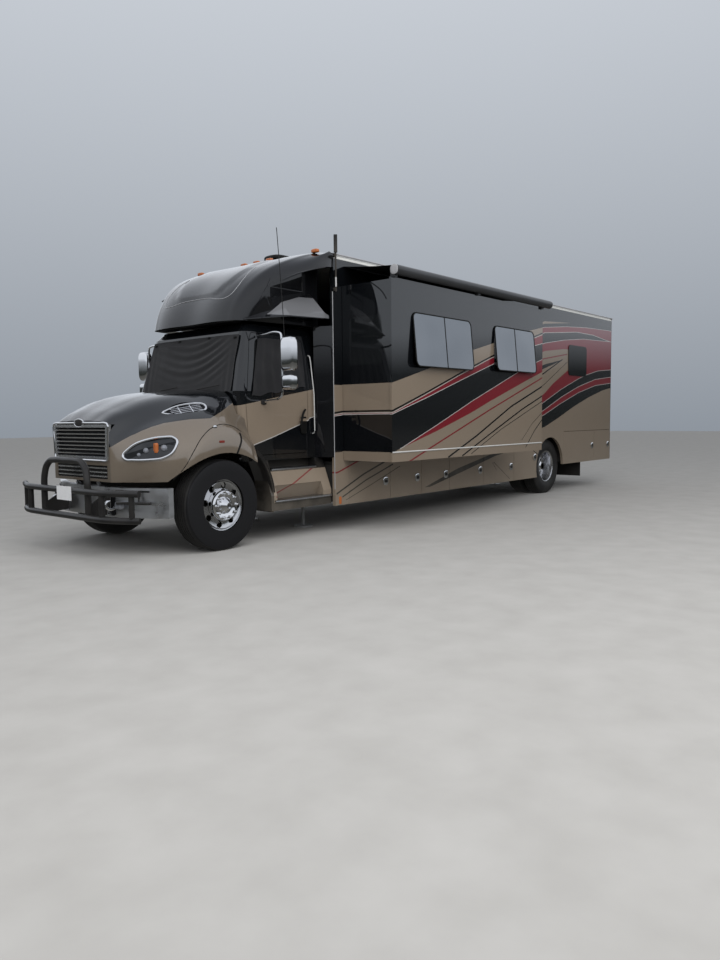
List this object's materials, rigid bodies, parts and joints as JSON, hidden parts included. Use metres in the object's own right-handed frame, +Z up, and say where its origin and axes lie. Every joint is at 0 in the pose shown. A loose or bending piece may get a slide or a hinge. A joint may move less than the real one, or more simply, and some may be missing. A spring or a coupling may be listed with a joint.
{
  "type": "motorhome on a bonneted truck chassis",
  "caption": "Large coach-built motorhome on a bonneted medium truck chassis, with an extended slide-out room, opening doors, tilting hood and steered front wheels.",
  "frame": {"origin": "on the ground below the middle of the vehicle's box", "axes": "+X forward, +Y to the driver's (left) side, +Z up"},
  "size_m": [12.222, 3.7545, 3.856],
  "materials": {
    "paint_tan": "metallic tan paint with dark and red bands",
    "paint_dark": "gloss near-black paint",
    "frame_black": "black chassis paint",
    "tyre": "black rubber with road film",
    "bright_wheel": "polished",
    "chrome": "bright chrome",
    "steel": "bare steel",
    "cast": "painted casting",
    "glass": "dark tinted",
    "lens": "clear lamp lens",
    "lamp_plastic": "amber and red lamp plastic",
    "plastic_black": "black moulded plastic",
    "rubber": "black rubber sheet",
    "mesh_fabric": "black mesh cloth",
    "awning_fabric": "black coated cloth",
    "trim": "tan seat covers",
    "white_plastic": "white moulded plastic",
    "floor": "dark coated floor and lockers"
  },
  "bodies": {
    "root": {"frame_rails": "frame_black", "axles": "frame_black", "engine_block": "cast", "exhaust": "steel", "levelling_jacks": "steel", "mud_flap": "rubber", "bumper": "chrome", "cab_shell": "paint_dark", "windshield": "glass", "windshield_cover": "mesh_fabric", "step_fairings": "paint_tan", "seats": "trim", "dashboard": "plastic_black", "nose_cap": "paint_dark", "house_floor": "floor", "wall_left": "paint_tan", "wall_right": "paint_tan", "roof": "white_plastic", "rear_cap": "paint_tan", "house_windows": "glass", "roof_fittings": "white_plastic", "lamps": "lamp_plastic", "awning_case": "paint_dark", "topper_fabric": "awning_fabric"},
    "hood": {"hood": "paint_tan", "grille": "chrome", "headlights": "lens"},
    "slide_out": {"slide_room": "paint_tan", "slide_glass": "glass", "slide_topper": "plastic_black"},
    "entry_door": {"entry_door": "paint_tan"},
    "cab_door_left": {"door_left": "paint_dark", "door_glass_left": "glass", "mirror_left": "chrome"},
    "steer_left": {"knuckle_left": "cast"},
    "wheel_front_left": {"tyre_front_left": "tyre", "rim_front_left": "bright_wheel"},
    "wheels_rear_left": {"tyres_rear_left": "tyre", "rims_rear_left": "bright_wheel"},
    "cab_door_right": {"door_right": "paint_dark", "door_glass_right": "glass", "mirror_right": "chrome"},
    "steer_right": {"knuckle_right": "cast"},
    "wheel_front_right": {"tyre_front_right": "tyre", "rim_front_right": "bright_wheel"},
    "wheels_rear_right": {"tyres_rear_right": "tyre", "rims_rear_right": "bright_wheel"},
    "guard": {"guard": "frame_black"},
    "baggage_door_left_1": {"baggage_door_left_1": "paint_tan"},
    "baggage_door_left_2": {"baggage_door_left_2": "paint_tan"},
    "baggage_door_left_3": {"baggage_door_left_3": "paint_tan"},
    "baggage_door_left_4": {"baggage_door_left_4": "paint_tan"},
    "baggage_door_left_5": {"baggage_door_left_5": "paint_tan"},
    "baggage_door_left_6": {"baggage_door_left_6": "paint_tan"},
    "baggage_door_left_7": {"baggage_door_left_7": "paint_tan"},
    "baggage_door_left_8": {"baggage_door_left_8": "paint_tan"},
    "baggage_door_right_1": {"baggage_door_right_1": "paint_tan"},
    "baggage_door_right_2": {"baggage_door_right_2": "paint_tan"},
    "baggage_door_right_3": {"baggage_door_right_3": "paint_tan"}
  },
  "joints": [
    {"name": "steer_left", "type": "hinge", "parent": "root", "child": "steer_left", "pos_m": [4.7575, 0.525, 0.473], "axis": [0, 0, 1], "range_deg": [-35, 35]},
    {"name": "wheel_front_left", "type": "hinge", "parent": "steer_left", "child": "wheel_front_left", "pos_m": [4.7575, 0.72, 0.518], "axis": [0, 1, 0], "continuous": true},
    {"name": "wheels_rear_left", "type": "hinge", "parent": "root", "child": "wheels_rear_left", "pos_m": [-3.2205, 0.715, 0.518], "axis": [0, 1, 0], "continuous": true},
    {"name": "cab_door_left", "type": "hinge", "parent": "root", "child": "cab_door_left", "pos_m": [4.226, 0.687, 1.4], "axis": [0, 0, -1], "range_deg": [0, 68]},
    {"name": "steer_right", "type": "hinge", "parent": "root", "child": "steer_right", "pos_m": [4.7575, -1.175, 0.473], "axis": [0, 0, 1], "range_deg": [-35, 35]},
    {"name": "wheel_front_right", "type": "hinge", "parent": "steer_right", "child": "wheel_front_right", "pos_m": [4.7575, -1.37, 0.518], "axis": [0, 1, 0], "continuous": true},
    {"name": "wheels_rear_right", "type": "hinge", "parent": "root", "child": "wheels_rear_right", "pos_m": [-3.2205, -1.365, 0.518], "axis": [0, 1, 0], "continuous": true},
    {"name": "cab_door_right", "type": "hinge", "parent": "root", "child": "cab_door_right", "pos_m": [4.226, -1.337, 1.4], "axis": [0, 0, 1], "range_deg": [0, 68]},
    {"name": "hood_tilt", "type": "hinge", "parent": "root", "child": "hood", "pos_m": [5.7425, -0.325, 0.8], "axis": [0, 1, 0], "range_deg": [0, 78]},
    {"name": "guard_fold", "type": "hinge", "parent": "root", "child": "guard", "pos_m": [5.7675, -0.325, 0.475], "axis": [0, 1, 0], "range_deg": [0, 78]},
    {"name": "slide_out", "type": "slide", "parent": "root", "child": "slide_out", "axis": [0, -1, 0], "range_m": [0, 0.785], "deforming": ["topper_fabric"]},
    {"name": "entry_door", "type": "hinge", "parent": "root", "child": "entry_door", "pos_m": [2.4238, -1.595, 1.6], "axis": [0, 0, 1], "range_deg": [0, 110]},
    {"name": "baggage_door_left_1", "type": "hinge", "parent": "root", "child": "baggage_door_left_1", "pos_m": [2.694, 0.945, 0.65], "axis": [0, 0, -1], "range_deg": [0, 90]},
    {"name": "baggage_door_left_2", "type": "hinge", "parent": "root", "child": "baggage_door_left_2", "pos_m": [1.804, 0.945, 0.65], "axis": [0, 0, -1], "range_deg": [0, 90]},
    {"name": "baggage_door_left_3", "type": "hinge", "parent": "root", "child": "baggage_door_left_3", "pos_m": [1.044, 0.945, 0.65], "axis": [0, 0, -1], "range_deg": [0, 90]},
    {"name": "baggage_door_left_4", "type": "hinge", "parent": "root", "child": "baggage_door_left_4", "pos_m": [0.294, 0.945, 0.65], "axis": [0, 0, -1], "range_deg": [0, 90]},
    {"name": "baggage_door_left_5", "type": "hinge", "parent": "root", "child": "baggage_door_left_5", "pos_m": [-0.726, 0.945, 0.65], "axis": [0, 0, -1], "range_deg": [0, 90]},
    {"name": "baggage_door_left_6", "type": "hinge", "parent": "root", "child": "baggage_door_left_6", "pos_m": [-1.766, 0.945, 0.65], "axis": [0, 0, -1], "range_deg": [0, 90]},
    {"name": "baggage_door_left_7", "type": "hinge", "parent": "root", "child": "baggage_door_left_7", "pos_m": [-3.746, 0.945, 0.65], "axis": [0, 0, -1], "range_deg": [0, 90]},
    {"name": "baggage_door_left_8", "type": "hinge", "parent": "root", "child": "baggage_door_left_8", "pos_m": [-5.211, 0.945, 0.65], "axis": [0, 0, -1], "range_deg": [0, 90]},
    {"name": "baggage_door_right_1", "type": "hinge", "parent": "root", "child": "baggage_door_right_1", "pos_m": [1.044, -1.595, 0.65], "axis": [0, 0, 1], "range_deg": [0, 90]},
    {"name": "baggage_door_right_2", "type": "hinge", "parent": "root", "child": "baggage_door_right_2", "pos_m": [-0.726, -1.595, 0.65], "axis": [0, 0, 1], "range_deg": [0, 90]},
    {"name": "baggage_door_right_3", "type": "hinge", "parent": "root", "child": "baggage_door_right_3", "pos_m": [-3.746, -1.595, 0.65], "axis": [0, 0, 1], "range_deg": [0, 90]}
  ],
  "couplings": [
    {"joint": "steer_right", "follows": "steer_left", "ratio": 1},
    {"joint": "guard_fold", "follows": "hood_tilt", "ratio": 1}
  ]
}
